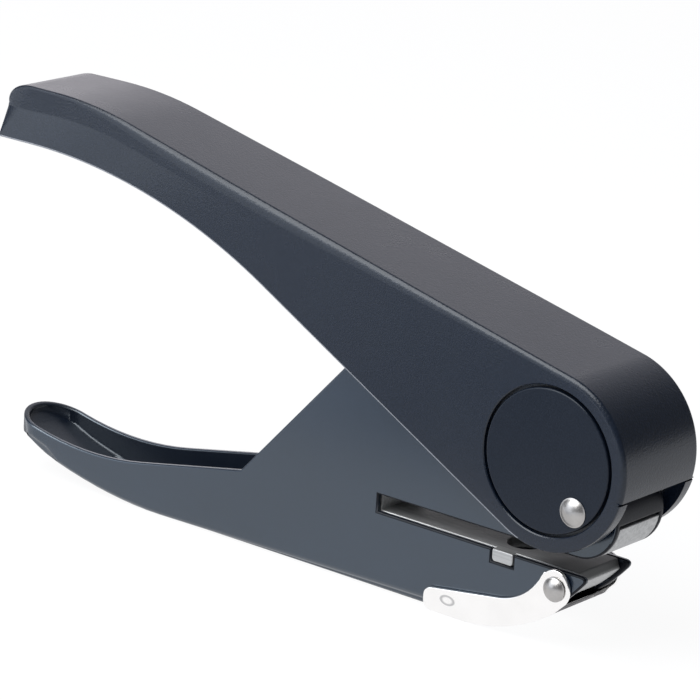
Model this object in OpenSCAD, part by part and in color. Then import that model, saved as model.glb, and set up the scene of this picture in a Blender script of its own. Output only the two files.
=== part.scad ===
// Single hole punch: a squeeze-grip paper punch with a moulded cover over a pressed steel frame.
// X runs from the tail to the jaw, Y across the tool, Z up. Heights are taken from the bottom
// of the steel channel, and the whole tool is lifted so that the chip flap rests at Z = 0.

/* [Frame channel] */
// Length from the tail of the channel to the front of the cover
overall_l = 130.2; // [122:0.2:140]
// Outside width of the channel
channel_w = 12.6; // [11.6:0.2:15]
// Thickness of the channel's sheet
sheet_t = 1; // [0.7:0.1:1.2]
// Outside radius of the channel's bottom bends
bend_r = 1.6; // [1.4:0.1:2.4]
// Length of the upturned tail
tail_l = 35; // [28:1:40]
// Radius of the tail's underside
tail_r = 90; // [80:1:120]
// Lowest height of the trough's rim
rim_z = 6.3; // [5:0.1:8]
// Distance from the tail's end to the lowest point of the rim
rim_dip_l = 19; // [14:1:24]
// Radius of the rim's dip
rim_r = 60; // [45:1:80]
// Slope of the rim towards the side plates, in degrees
rim_slope = 11.3; // [8:0.1:14]
// Distance from the tail's end to the foot of the side plates
foot_l = 52.5; // [48:0.5:58]
// Slope of the side plates' rear edge, in degrees
rear_slope = 47.9; // [42:0.1:55]
// Height of the side plates inside the cover
plate_top = 36; // [34.5:0.5:37]
// Distance of the rear end of the plates' level top in front of the slot's end
plate_rear = 7.3; // [5:0.1:9]
// Distance of the front end of the plates' level top in front of the slot's end
plate_fwd = 19.3; // [17:0.1:20.5]
// Direction from the nose's centre in which its curve ends, in degrees
nose_to = 100; // [90:1:110]

/* [Jaw] */
// Height of the die table above the channel's bottom
table_z = 12.3; // [11.5:0.1:14]
// Height of the paper slot
slot_h = 2.8; // [2:0.1:3.6]
// Depth of the paper slot behind the punch axis
slot_reach = 25; // [20:0.1:26]
// Length of the lower jaw in front of the punch axis
jaw_l = 15.9; // [14.5:0.1:17]
// Radius of the upper jaw's nose
nose_r = 6.9; // [6.5:0.1:7.4]
// Distance of the nose's centre behind the pivot
nose_back = 1.1; // [0.8:0.1:1.4]
// Height of the pivot above the paper slot
pivot_rise = 8.5; // [8.3:0.1:9]
// Thickness of the bracket that lines the slot
bracket_t = 2; // [1.4:0.1:2.2]
// Length of the bracket's side tabs
tab_l = 4; // [3:0.1:6]
// Length of the bracket's front lip, in degrees of the chin's curve
lip_a = 11; // [8:1:14]
// Distance of the lip's fold behind the lower jaw's end
lip_back = 6.4; // [5:0.1:7]
// Direction from the nose's centre in which the bracket's upper leg ends, in degrees
leg_at = -6; // [-12:1:-5]
// Direction from the nose's centre in which the nose wall starts, in degrees
wall_from = -3; // [-3:1:3]
// Direction from the nose's centre in which the nose wall ends, in degrees
wall_to = 45; // [30:1:60]

/* [Handle] */
// Radius of the cover's round head
head_r = 14.4; // [13.8:0.1:16]
// Distance of the pivot in front of the head's centre
pivot_fwd = 5.6; // [5:0.1:6]
// Height of the head's centre above the pivot
head_rise = 6.8; // [6.2:0.1:7.4]
// Thickness of the cover's walls
cover_wall = 2.2; // [1.8:0.1:2.6]
// Thickness to which the walls thin down at the tip and at the foot of the front
thin_wall = 1.4; // [1.2:0.1:1.6]
// Slope of the cover's top, in degrees
top_slope = 12.9; // [11:0.1:15]
// Slope of the cover's lower edge, in degrees
low_slope = 28.2; // [26:0.1:30]
// Radius of the bend in the cover's top
top_bend_r = 76; // [70:1:90]
// Radius of the bend in the cover's lower edge
low_bend_r = 110; // [100:1:125]
// Length of the level part of the cover's lower edge at the tip
tip_l = 6; // [4:0.5:9]
// Distance of the top's crest from the end of the tip
crest_l = 10; // [8:0.5:12]
// Direction from the head's centre in which the front wall ends, in degrees
front_at = -13.9; // [-15:0.1:-12]
// Lean of the cover's end face
tip_rake = 1.3; // [0.5:0.1:3]
// Radius of the tip's top corner
tip_r = 2.4; // [1.6:0.1:3]
// Rounding of the cover's top edges at the tip and the head
edge_r = 0.6; // [0.4:0.1:0.8]
// Rounding of the cover's top edges at the bend
shoulder_r = 1.1; // [0.8:0.1:1.3]
// Length over which that rounding changes
shoulder_l = 50; // [40:1:60]
// Flare of the cover's sides at the tip
flare = 2.7; // [2:0.1:3]
// Length from the tip over which the flare fades
flare_l = 64; // [55:1:70]
// Height of the upright band between the flare and the top
flare_drop = 3.6; // [2.6:0.1:4.4]
// Radius of the round insert in each cheek
disc_r = 11.5; // [10.5:0.1:11.8]
// Thickness of the round insert
disc_t = 1.2; // [0.8:0.1:1.5]
// Width of the groove round the insert
groove_w = 0.5; // [0.3:0.1:0.7]
// Travel of the handle, in degrees
handle_travel = 18; // [14:1:18]

/* [Lever and pivot] */
// Thickness of the lever's sheet
lever_t = 1; // [0.8:0.1:1.4]
// Side gap between lever and channel, which the pivot washers fill
lever_gap = 0.5; // [0.4:0.1:0.9]
// Length of the lever behind the pivot
lever_l = 73; // [66:1:78]
// Diameter of the pivot rivet's shank
rivet_d = 3.2; // [2.6:0.1:3.6]
// Diameter of the pivot rivet's domes
rivet_head_d = 4.7; // [4.4:0.1:5.4]
// Height of the pivot rivet's domes
rivet_head_h = 1.3; // [0.8:0.1:1.8]
// Wall of the pivot bush
bush_wall = 1.2; // [0.8:0.1:1.6]
// Diameter of the press pin
press_d = 3.5; // [3:0.1:4]
// Distance of the press pin behind the pivot
press_back = 13.4; // [12.5:0.1:14]
// Height of the press pin above the pivot
press_rise = 9.3; // [8.8:0.1:10]
// Diameter of the stop pin
stop_d = 3; // [2.4:0.1:3.4]
// Distance of the stop pin behind the pivot
stop_back = 31.3; // [29:0.1:33]
// Height of the stop pin above the pivot
stop_rise = 8.7; // [8.2:0.1:9.4]
// Diameter of the lever pin
lever_pin_d = 2.5; // [2:0.1:3]
// Depth of the lever pin's sockets in the cheeks
socket_d = 0.8; // [0.4:0.1:1.2]

/* [Punch] */
// Diameter of the punched hole
punch_d = 6; // [5:0.1:6.4]
// Distance of the punch axis behind the pivot
punch_back = 15.1; // [14.6:0.1:15.6]
// Height of the punch's end above the slot at rest
punch_recess = 0.3; // [0.1:0.1:0.6]
// Diameter of the spring's wire
wire_d = 0.8; // [0.6:0.05:0.9]
// Number of the spring's curls
curls = 6; // [4:1:7]
// Thickness of the spring's washer
washer_t = 0.5; // [0.3:0.1:0.8]
// Thickness of the spring's clip
clip_t = 0.6; // [0.4:0.1:0.8]
// Width of the clip's mouth
clip_mouth = 3.8; // [3:0.1:4.4]
// Width of the clip and the washer beyond the punch
seat_w = 1.7; // [1.4:0.1:1.9]

/* [Chip flap] */
// Thickness of the flap's sheet
flap_t = 0.7; // [0.5:0.05:0.9]
// Gap between flap and channel
flap_gap = 0.15; // [0.1:0.05:0.3]
// Outside radius of the flap's belly
belly_r = 30; // [28:0.5:33]
// Distance of the belly's lowest point behind the punch axis
belly_back = 7.2; // [6:0.1:8]
// Distance of the flap's rear edge behind the punch axis
flap_back = 14.2; // [12:0.1:16]
// Height of the flap's sides at the rear
band_h = 3.9; // [3:0.1:4.6]
// Radius of the corners at the rear of the flap's sides
band_r = 1.5; // [0.8:0.1:1.6]
// Slope of the top of the flap's sides, in degrees
band_slope = 7.5; // [4:0.5:10]
// Radius of the curve that runs up to the flap's ears
ear_sweep_r = 11; // [9:0.5:13]
// Radius of the flap's ears
ear_r = 3.1; // [2.8:0.1:3.4]
// Direction in which that curve ends, in degrees
ear_sweep_to = -22; // [-30:1:-18]
// Distance of the flap's rivets in front of the punch axis
ear_fwd = 10.9; // [10:0.1:11.4]
// Distance of the flap's rivets below the die table
ear_drop = 3; // [2.8:0.1:3.6]
// Diameter of the flap rivets' shanks
ear_rivet_d = 2.6; // [2.2:0.1:3]
// Diameter of the flap rivets' domes
ear_head_d = 4; // [3.6:0.1:4.6]
// Height of the flap rivets' domes
ear_head_h = 1.1; // [0.8:0.1:1.6]
// Radius of the flap's detent dimples
dimple_r = 1.4; // [1:0.1:1.6]

/* [Hidden] */
$fn = 64;

// Clearances: running fit of pins, gap between faces that slide, slack that only has to be clear
run = 0.05;
slip = 0.1;
clear = 0.4;
// Overshoot of cutting shapes, and of turned ones in degrees
cut = 1;
cut_a = 4;
// Steps of a drawn arc
arc_n = 12;

// Widths, as half distances from the middle plane
channel_half = channel_w / 2;
inside_half = channel_half - sheet_t;
lever_in = channel_half + lever_gap;
lever_out = lever_in + lever_t;
cover_half = lever_out + cover_wall;
flap_in = channel_half + flap_gap;
flap_out = flap_in + flap_t;
bracket_half = inside_half - slip;

// Places along the tool, as [x, z]
lift = flap_gap + flap_t;
slot_top = table_z + slot_h;
head = [overall_l / 2 - head_r, slot_top + pivot_rise + head_rise];
pivot = head + [pivot_fwd, -head_rise];
nose = [pivot[0] - nose_back, slot_top + nose_r];
punch_x = pivot[0] - punch_back;
slot_x = punch_x - slot_reach;
jaw_x = punch_x + jaw_l;
tail_x = -overall_l / 2;
bend_x = tail_x + tail_l;
foot_x = tail_x + foot_l;
ear = [punch_x + ear_fwd, table_z - ear_drop];
belly = [punch_x - belly_back, belly_r - lift];
chin_r = belly_r - lift;
press = pivot + [-press_back, press_rise];
stop = pivot + [-stop_back, stop_rise];

// Colours of the finishes
cover_colour = [0.17, 0.18, 0.21];
frame_colour = [0.32, 0.35, 0.4];
steel_colour = [0.62, 0.63, 0.65];
bright_colour = [0.85, 0.84, 0.82];

function polar(c, r, a) = c + r * [cos(a), sin(a)];
function arc(c, r, a0, a1, n) = [for (i = [0:n]) polar(c, r, a0 + (a1 - a0) * i / n)];
function backwards(list) = [for (i = [len(list) - 1:-1:0]) list[i]];
function mix(a, b, t) = a + (b - a) * t;

// A point at the handle's rest place, as the turned handle sees it
function seen_turned(p, a) = pivot + [(p - pivot)[0] * cos(a) + (p - pivot)[1] * sin(a),
    -(p - pivot)[0] * sin(a) + (p - pivot)[1] * cos(a)];

// Flat outlines in the XZ plane, pulled from y0 to y1
module slab(y0, y1) {
    translate([0, y1, 0]) rotate([90, 0, 0]) linear_extrude(y1 - y0) children();
}

// Cylinder along Y
module ycyl(p, r, y0, y1) {
    translate([p[0], y0, p[1]]) rotate([-90, 0, 0]) cylinder(r = r, h = y1 - y0);
}

// Profile turned about an axis along Y, with its height along Y
module yturn(p) {
    translate([p[0], 0, p[1]]) rotate([-90, 0, 0]) rotate_extrude() children();
}

module raised() {
    translate([0, 0, lift]) children();
}

module both_sides() {
    children();
    mirror([0, 1, 0]) children();
}

// Channel section as a filled block with rounded bottom corners, inset from the outside
module channel_block(inset, h) {
    w = channel_half - inset;
    r = bend_r - inset;
    translate([-w, inset + r]) square([2 * w, h - inset - r]);
    translate([-w + r, inset]) square([2 * (w - r), h - inset]);
    for (s = [-1, 1]) translate([s * (w - r), inset + r]) circle(r);
}

// The block run along the flat bottom and round the tail's arc
module channel_run(inset) {
    translate([bend_x, 0, 0]) rotate([90, 0, 90]) linear_extrude(overall_l - tail_l + cut)
        channel_block(inset, plate_top + bend_r);
    tail_a = asin(tail_l / tail_r) + cut_a;
    multmatrix([[0, -1, 0, bend_x], [0, 0, 1, 0], [-1, 0, 0, tail_r], [0, 0, 0, 1]])
        rotate_extrude(angle = tail_a) translate([tail_r, 0]) rotate(90)
            channel_block(inset, 2 * rim_z + bend_r);
}

// Plan of the channel with its round nose
module channel_plan(inset) {
    r = channel_half - inset;
    translate([tail_x + channel_half, 0, -cut]) cylinder(r = r, h = plate_top + 2 * cut);
    translate([tail_x + channel_half, -r, -cut]) cube([overall_l, 2 * r, plate_top + 2 * cut]);
}

// Side view of the channel: chin, jaw, nose, plates, rim and tail
function frame_outline() =
    let(chin_a = -acos((jaw_x - belly[0]) / chin_r),
        dip = [tail_x + rim_dip_l, rim_z + rim_r],
        rim_foot = polar(dip, rim_r, -90 + rim_slope),
        foot_z = rim_foot[1] + (foot_x - rim_foot[0]) * tan(rim_slope),
        shoulder_z = plate_top - bend_r)
    concat([[tail_x - cut, -cut], [belly[0], -cut]],
        arc(belly, chin_r, -90, chin_a, arc_n),
        [[jaw_x, table_z - sheet_t / 2], [jaw_x - sheet_t / 2, table_z], [nose[0], table_z]],
        arc(nose, nose_r, -90, nose_to, 2 * arc_n),
        [[slot_x + plate_fwd, plate_top], [slot_x + plate_rear, plate_top],
         [foot_x + (shoulder_z - foot_z) / tan(rear_slope), shoulder_z], [foot_x, foot_z]],
        arc(dip, rim_r, -90 + rim_slope, -90 - asin((rim_dip_l + cut) / rim_r), arc_n));

module frame_body() {
    wide = channel_half + cut;
    press_low = seen_turned(press, -handle_travel);
    notch_w = press_d / 2 + clear;
    color(frame_colour) raised() {
        difference() {
            intersection() {
                channel_run(0);
                channel_plan(0);
                slab(-wide, wide) polygon(frame_outline());
            }
            intersection() {
                channel_run(sheet_t);
                channel_plan(sheet_t);
            }
            // paper slot, and the notches below it for the bracket's tabs
            translate([slot_x, -wide, table_z]) cube([overall_l, 2 * wide, slot_h]);
            translate([punch_x - tab_l / 2 - slip, -wide, table_z - bracket_t - slip])
                cube([tab_l + 2 * slip, 2 * wide, bracket_t + 2 * slip]);
            // notch that the press pin swings in
            translate([press_low[0] - notch_w, -wide, press_low[1] - notch_w])
                cube([press[0] - press_low[0] + 2 * notch_w, 2 * wide, plate_top]);
            // opening in the bottom, which the flap covers, where the chips fall
            translate([punch_x - flap_back + band_r - slip, -inside_half, -cut])
                cube([overall_l, 2 * inside_half, 2 * cut + sheet_t + bend_r]);
            ycyl(pivot, rivet_d / 2 + run, -wide, wide);
            ycyl(stop, stop_d / 2, -wide, wide);
            ycyl(ear, ear_rivet_d / 2, -wide, wide);
        }
        // cross wall that closes the upper jaw's nose above the bracket's lip
        slab(-inside_half, inside_half) polygon(concat(arc(nose, nose_r, wall_from, wall_to, arc_n),
            backwards(arc(nose, nose_r - sheet_t, wall_from, wall_to, arc_n))));
    }
}

// Side view of the bracket: table with its front lip, back stop, upper leg wrapped round the nose
function bracket_outline() =
    let(lip_r = chin_r - slip,
        tip_a = -acos((jaw_x - sheet_t - belly[0]) / lip_r),
        end_a = tip_a - lip_a)
    concat([[slot_x, table_z]],
        [[jaw_x - bracket_t, table_z]],
        arc(belly, lip_r, tip_a, end_a, arc_n / 3),
        backwards(arc(belly, lip_r - bracket_t, tip_a - lip_a / 2, end_a, arc_n / 3)),
        [[jaw_x - lip_back, table_z - bracket_t]],
        arc([slot_x, table_z], bracket_t, -90, -180, arc_n / 2),
        arc([slot_x, slot_top], bracket_t, 180, 90, arc_n / 2),
        arc(nose, nose_r - bracket_t, -90, leg_at, arc_n),
        backwards(arc(nose, nose_r, -90, leg_at, arc_n)),
        [[slot_x, slot_top]]);

module throat_bracket() {
    color(steel_colour) raised() difference() {
        union() {
            slab(-bracket_half, bracket_half) polygon(bracket_outline());
            translate([punch_x - tab_l / 2, -channel_half, table_z - bracket_t])
                cube([tab_l, channel_w, bracket_t]);
        }
        translate([punch_x, 0, 0]) cylinder(r = punch_d / 2 + run, h = plate_top);
    }
}

module pivot_bush() {
    color(steel_colour) raised() difference() {
        ycyl(pivot, rivet_d / 2 + run + bush_wall, -inside_half, inside_half);
        ycyl(pivot, rivet_d / 2 + run, -channel_w, channel_w);
    }
}

module stop_pin() {
    color(steel_colour) raised() ycyl(stop, stop_d / 2, -lever_out + slip, lever_out - slip);
}

module spring_washer() {
    color(steel_colour) raised() translate([punch_x, 0, slot_top + bracket_t]) difference() {
        cylinder(r = punch_d / 2 + seat_w, h = washer_t);
        translate([0, 0, -cut]) cylinder(r = punch_d / 2 + slip, h = washer_t + 2 * cut);
    }
}

// Half section of a dome of radius r and height h
module dome(r, h) {
    ball = (r * r + h * h) / (2 * h);
    intersection() {
        translate([0, h - ball]) circle(ball);
        square([r, h]);
    }
}

// Rivet of one side of the flap: shank through plate and ear, dome outside
module flap_rivet() {
    color(steel_colour) raised() yturn(ear) {
        translate([0, inside_half]) square([ear_rivet_d / 2, flap_out + slip - inside_half]);
        translate([0, flap_out + slip]) dome(ear_head_d / 2, ear_head_h);
    }
}

module flap_rivet_left() {
    flap_rivet();
}

module flap_rivet_right() {
    mirror([0, 1, 0]) flap_rivet();
}

// Paths of the cover's side view from tip to front: top points, their outward normals and rim points.
// Each follows the bend and the straight, and goes round its part of the head.
bend_n = 10;
head_n = 12;
top_at = 90 - top_slope;
low_at = 270 - low_slope;
tip_x = tail_x;
top_level_x = tip_x + crest_l;
low_level_x = tip_x + tip_l;
top_tangent = polar(head, head_r, top_at);
low_tangent = polar(head, head_r, low_at);
top_z = top_tangent[1] + (top_tangent[0] - top_level_x - top_bend_r * sin(top_slope)) * tan(top_slope)
    + top_bend_r * (1 - cos(top_slope));
low_z = low_tangent[1] + (low_tangent[0] - low_level_x - low_bend_r * sin(low_slope)) * tan(low_slope)
    + low_bend_r * (1 - cos(low_slope));

// Radius of the inside of the head
wall_in_r = head_r - cover_wall;

tip_corner = [tip_x + tip_rake + tip_r, top_z - tip_r];
tip_from = 165;
tip_to = 100;
tip_n = 3;
straight = [1 / 3, 2 / 3];
top_angles = concat([for (i = [0:tip_n]) mix(tip_from, tip_to, i / tip_n)],
    [for (i = [0:bend_n]) mix(90, top_at, i / bend_n)], [for (t = straight) top_at],
    [for (i = [0:head_n]) mix(top_at, front_at, i / head_n)]);
bend_end = polar([top_level_x, top_z - top_bend_r], top_bend_r, top_at);
top_points = concat(arc(tip_corner, tip_r, tip_from, tip_to, tip_n),
    arc([top_level_x, top_z - top_bend_r], top_bend_r, 90, top_at, bend_n),
    [for (t = straight) mix(bend_end, top_tangent, t)],
    arc(head, head_r, top_at, front_at, head_n));
low_bend_end = polar([low_level_x, low_z - low_bend_r], low_bend_r, 90 - low_slope);
rim_points = concat([for (i = [0:tip_n]) [tip_x + tip_l * i / (tip_n + 2), low_z]],
    arc([low_level_x, low_z - low_bend_r], low_bend_r, 90, 90 - low_slope, bend_n),
    [for (t = straight) mix(low_bend_end, low_tangent, t)],
    arc(head, head_r, low_at, front_at + 360 - cut_a, head_n));

// Inset of the top edge from the rim, which fades from the tip towards the head
function flare_at(x) = flare * pow(max(0, 1 - (x - tip_x) / flare_l), 2);

// Rounding of the top edges, largest at the bend's end
function edge_at(x) = mix(edge_r, shoulder_r, max(0, 1 - abs(x - bend_end[0]) / shoulder_l));

// Thickness of the top and front wall, which thins round the head
head_from = len(top_points) - 1 - head_n;
function wall_at(i) = mix(cover_wall, thin_wall, max(0, i - head_from) / head_n);

// Half of a wall's outline across the tool: rim, foot of the upright band, and round the top edge
function half_wall(rim, top, a, half, half_top, r) =
    let(band = mix(top, rim, min(flare_drop / norm(top - rim), 1 / 2)))
    concat([[rim[0], half, rim[1]], [band[0], half_top, band[1]]],
        [for (t = [0:30:90]) let(p = polar(top, -r * (1 - sin(t)), a))
            [p[0], half_top - r * (1 - cos(t)), p[1]]]);
function both_walls(side) = concat(side, [for (p = backwards(side)) [p[0], -p[1], p[2]]]);

// Section of the shell: outside of the walls, then back along the inside. The tip is nearly solid.
function shell_section(i) =
    let(solid = i <= tip_n,
        x = top_points[i][0],
        inner_top = solid ? rim_points[i] + [0, slip] : polar(top_points[i], -wall_at(i), top_angles[i]),
        inner_a = solid ? 90 : top_angles[i],
        bent = i <= tip_n + bend_n,
        inner_half = bent ? min(lever_out, cover_half - flare_at(x) - thin_wall) : lever_out)
    concat(both_walls(half_wall(rim_points[i], top_points[i], top_angles[i], cover_half,
            cover_half - flare_at(x), edge_at(x))),
        backwards(both_walls(half_wall(rim_points[i], inner_top, inner_a, lever_out,
            solid ? lever_out : inner_half, solid ? slip / 2 : edge_r))));

// Skin through a list of closed sections; each end is a strip across the section, as it is a U
module shell_loft(sections) {
    n = len(sections[0]);
    m = len(sections);
    last = (m - 1) * n;
    points = [for (s = sections, p = s) p];
    sides = [for (i = [0:m - 2], j = [0:n - 1], k = [0, 1])
        let(a = i * n + j, b = i * n + (j + 1) % n)
        k == 0 ? [a, b + n, b] : [a, a + n, b + n]];
    ends = [for (j = [0:n / 2 - 2], k = [0, 1])
        let(a = j, b = j + 1, c = n - 2 - j, d = n - 1 - j)
        each k == 0 ? [[a, b, c], [last + a, last + c, last + b]] : [[a, c, d], [last + a, last + d, last + c]]];
    polyhedron(points = points, faces = concat(sides, ends));
}

module handle_cover() {
    color(cover_colour) raised() difference() {
        shell_loft([for (i = [0:len(top_points) - 1]) shell_section(i)]);
        both_sides() ycyl(head, disc_r + groove_w, cover_half - disc_t, cover_half + cut);
        both_sides() ycyl(lever_rear(), lever_pin_d / 2, lever_in, lever_out + socket_d);
        ycyl(pivot, rivet_d / 2, -cover_half, cover_half);
    }
}

// Round insert with a chamfered rim
module pivot_disc_left() {
    color(cover_colour) raised() difference() {
        yturn(head) polygon([[0, cover_half - disc_t], [disc_r, cover_half - disc_t],
            [disc_r, cover_half - disc_t / 4], [disc_r - disc_t / 4, cover_half], [0, cover_half]]);
        ycyl(pivot, rivet_d / 2, lever_in, cover_half + cut);
    }
}

module pivot_disc_right() {
    mirror([0, 1, 0]) pivot_disc_left();
}

module pivot_rivet() {
    color(bright_colour) raised() {
        ycyl(pivot, rivet_d / 2, -cover_half, cover_half);
        both_sides() yturn(pivot) translate([0, cover_half]) dome(rivet_head_d / 2, rivet_head_h);
    }
}

module pivot_washer() {
    color(steel_colour) raised() difference() {
        ycyl(pivot, rivet_d / 2 + bush_wall, channel_half + slip, lever_in);
        ycyl(pivot, rivet_d / 2, 0, cover_half);
    }
}

module pivot_washer_left() {
    pivot_washer();
}

module pivot_washer_right() {
    mirror([0, 1, 0]) pivot_washer();
}

// Side view of the lever's cheeks: lines parallel to the cover's edges, round the inside of its head.
// The lever stays below the rounding of the cover's inner corners.
lever_r = wall_in_r - edge_r;
lever_rear_x = pivot[0] - lever_l;
function top_line(x, r) = head[1] + r / cos(top_slope) + (head[0] - x) * tan(top_slope);
function low_line(x, r) = head[1] - r / cos(low_slope) + (head[0] - x) * tan(low_slope);
function lever_outline() = concat([[lever_rear_x, low_line(lever_rear_x, lever_r)],
    [lever_rear_x, top_line(lever_rear_x, lever_r)]], arc(head, lever_r, top_at, low_at - 360, 3 * arc_n));
lever_pin_x = lever_rear_x + 2 * lever_pin_d;
function lever_rear() = [lever_pin_x, (top_line(lever_pin_x, lever_r) + low_line(lever_pin_x, lever_r)) / 2];

// Curved slot round the pivot that the stop pin runs in
function stop_slot() =
    let(far = norm(stop - pivot),
        r = stop_d / 2 + clear,
        from = atan2(stop_rise, -stop_back),
        to = from - handle_travel)
    concat(arc(pivot, far + r, from, to, arc_n),
        [for (i = [1:arc_n - 1]) polar(polar(pivot, far, to), r, to - 180 * i / arc_n)],
        arc(pivot, far - r, to, from, arc_n),
        [for (i = [1:arc_n - 1]) polar(polar(pivot, far, from), r, from + 180 - 180 * i / arc_n)]);

module handle_lever() {
    web_r = lever_r - lever_t;
    color(steel_colour) raised() difference() {
        union() {
            both_sides() slab(lever_in, lever_out) polygon(lever_outline());
            slab(-lever_in, lever_in) polygon([[lever_rear_x, top_line(lever_rear_x, web_r)],
                [lever_rear_x, top_line(lever_rear_x, lever_r)], polar(head, lever_r, top_at),
                polar(head, web_r, top_at)]);
        }
        slab(-cover_half, cover_half) polygon(stop_slot());
        ycyl(lever_rear(), lever_pin_d / 2, -cover_half, cover_half);
        ycyl(press, press_d / 2, -cover_half, cover_half);
        ycyl(pivot, rivet_d / 2, -cover_half, cover_half);
    }
}

module press_pin() {
    color(steel_colour) raised() ycyl(press, press_d / 2, -lever_out, lever_out);
}

module lever_pin() {
    reach = lever_out + socket_d;
    color(steel_colour) raised() ycyl(lever_rear(), lever_pin_d / 2, -reach, reach);
}

// Heights on the punch axis at rest
punch_low = slot_top + punch_recess;
punch_top = press[1] - press_d / 2 - slip;
clip_z = punch_top - 3 * clip_t;
neck_r = punch_d / 2 - clip_t;

// Punch with a hollow-ground cutting end and a neck for the clip
module punch_pin() {
    color(steel_colour) raised() difference() {
        translate([punch_x, 0, 0]) rotate_extrude() polygon([[0, punch_low], [punch_d / 2, punch_low],
            [punch_d / 2, clip_z], [neck_r, clip_z], [neck_r, clip_z + clip_t],
            [punch_d / 2, clip_z + clip_t], [punch_d / 2, punch_top - clip_t / 2],
            [punch_d / 2 - clip_t / 2, punch_top], [0, punch_top]]);
        ycyl([punch_x, punch_low - punch_d], punch_d + punch_recess * 2, -punch_d, punch_d);
    }
}

// Open ring in the punch's neck
module spring_clip() {
    color(steel_colour) raised() translate([punch_x, 0, clip_z]) difference() {
        cylinder(r = punch_d / 2 + seat_w, h = clip_t);
        translate([0, 0, -cut]) cylinder(r = neck_r, h = clip_t + 2 * cut);
        translate([0, -clip_mouth / 2, -cut]) cube([punch_d, clip_mouth, clip_t + 2 * cut]);
    }
}

// Return spring: one wire along a helix, with flat end curls
coil_r = punch_d / 2 + clear + wire_d / 2;
coil_low = slot_top + bracket_t + washer_t + wire_d / 2;
coil_high = clip_z - wire_d / 2;
rings = 8;
ring_count = curls * rings;
spring_pitch = (coil_high - coil_low) / curls;
function wire_at(i) = [coil_r * cos(360 * i / rings), coil_r * sin(360 * i / rings),
    mix(coil_low, coil_high, i / ring_count)];
wire_sides = 6;
function wire_ring(i) =
    let(a = 360 * i / rings, out = [cos(a), sin(a), 0], up = [0, 0, 1])
    [for (k = [0:wire_sides - 1]) wire_at(i) + wire_d / 2 * (out * cos(360 * k / wire_sides)
        + up * sin(360 * k / wire_sides))];
wire_gap = min([for (i = [0:ring_count - rings]) norm(wire_at(i + rings) - wire_at(i)) - wire_d]);
echo(spring_least_gap = wire_gap);

module return_spring() {
    n = wire_sides;
    last = ring_count * n;
    points = [for (i = [0:ring_count], p = wire_ring(i)) p];
    sides = [for (i = [0:ring_count - 1], j = [0:n - 1], k = [0, 1])
        let(a = i * n + j, b = i * n + (j + 1) % n)
        k == 0 ? [a, b, b + n] : [a, b + n, a + n]];
    ends = [for (j = [1:n - 2]) each [[0, j + 1, j], [last, last + j, last + j + 1]]];
    color(steel_colour) raised() translate([punch_x, 0, 0])
        polyhedron(points = points, faces = concat(sides, ends));
}

// Side view of the flap: its rear edge, and the outside of its belly from front to rear
flap_x = punch_x - flap_back;
flap_front_a = -acos((ear[0] - belly[0]) / belly_r);
belly_line = concat(arc(belly, belly_r, flap_front_a, -90, arc_n), [[flap_x + band_r, -lift]]);

// Cheeks: ear, swept curve and rear band above the belly
module flap_side() {
    rear_z = band_h - lift;
    sweep_x = ear[0] - ear_sweep_r;
    sweep_z = rear_z + (sweep_x - flap_x) * tan(band_slope);
    sweep = [sweep_x, sweep_z] + ear_sweep_r * [-sin(band_slope), cos(band_slope)];
    translate(ear) circle(ear_r);
    polygon(concat(belly_line, arc([flap_x + band_r, band_r - lift], band_r, 262, 180, arc_n / 2),
        arc([flap_x + band_r, rear_z - band_r], band_r, 180, 98, arc_n / 2),
        arc(sweep, ear_sweep_r, -90 + band_slope, ear_sweep_to, arc_n), [ear, polar(ear, ear_r, -45)]));
}

module chip_flap() {
    dimple = [flap_x + band_h + dimple_r * 2 / 3, band_h / 2 - lift + flap_t];
    color(bright_colour) raised() difference() {
        union() {
            both_sides() slab(flap_in, flap_out) flap_side();
            slab(-flap_out, flap_out) polygon(concat(belly_line, [[flap_x + band_r, flap_t - lift]],
                arc(belly, belly_r - flap_t, -90, flap_front_a, arc_n)));
        }
        both_sides() {
            ycyl(ear, ear_rivet_d / 2 + run, 0, flap_out + cut);
            yturn(dimple) translate([0, flap_out + dimple_r * 3 / 4]) intersection() {
                circle(dimple_r);
                translate([0, -dimple_r]) square([dimple_r, 2 * dimple_r]);
            }
        }
    }
}

frame_body();
throat_bracket();
pivot_bush();
stop_pin();
spring_washer();
flap_rivet_left();
flap_rivet_right();
handle_cover();
handle_lever();
pivot_disc_left();
pivot_disc_right();
pivot_rivet();
pivot_washer_left();
pivot_washer_right();
press_pin();
lever_pin();
punch_pin();
spring_clip();
return_spring();
chip_flap();
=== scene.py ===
import math
import bpy
import bmesh
from mathutils import Matrix, Vector


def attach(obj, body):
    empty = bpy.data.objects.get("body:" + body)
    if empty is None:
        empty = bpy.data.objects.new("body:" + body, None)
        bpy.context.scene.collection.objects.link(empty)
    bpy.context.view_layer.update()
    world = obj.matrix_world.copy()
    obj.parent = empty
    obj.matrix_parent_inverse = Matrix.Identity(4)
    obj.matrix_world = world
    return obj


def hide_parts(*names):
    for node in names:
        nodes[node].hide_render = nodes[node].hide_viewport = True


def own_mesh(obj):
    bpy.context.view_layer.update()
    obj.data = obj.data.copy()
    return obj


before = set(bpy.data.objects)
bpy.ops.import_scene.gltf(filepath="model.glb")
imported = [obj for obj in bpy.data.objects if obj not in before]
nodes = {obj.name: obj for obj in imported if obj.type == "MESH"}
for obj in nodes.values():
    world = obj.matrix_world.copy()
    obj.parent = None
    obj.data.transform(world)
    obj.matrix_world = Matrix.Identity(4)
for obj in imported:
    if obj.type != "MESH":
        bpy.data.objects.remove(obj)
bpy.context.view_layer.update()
mm = 0.001
print("frame loaded:", len(nodes), "nodes")


# node helpers

def put(tree, kind, **values):
    node = tree.nodes.new(kind)
    for key, value in values.items():
        setattr(node, key, value)
    return node


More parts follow.
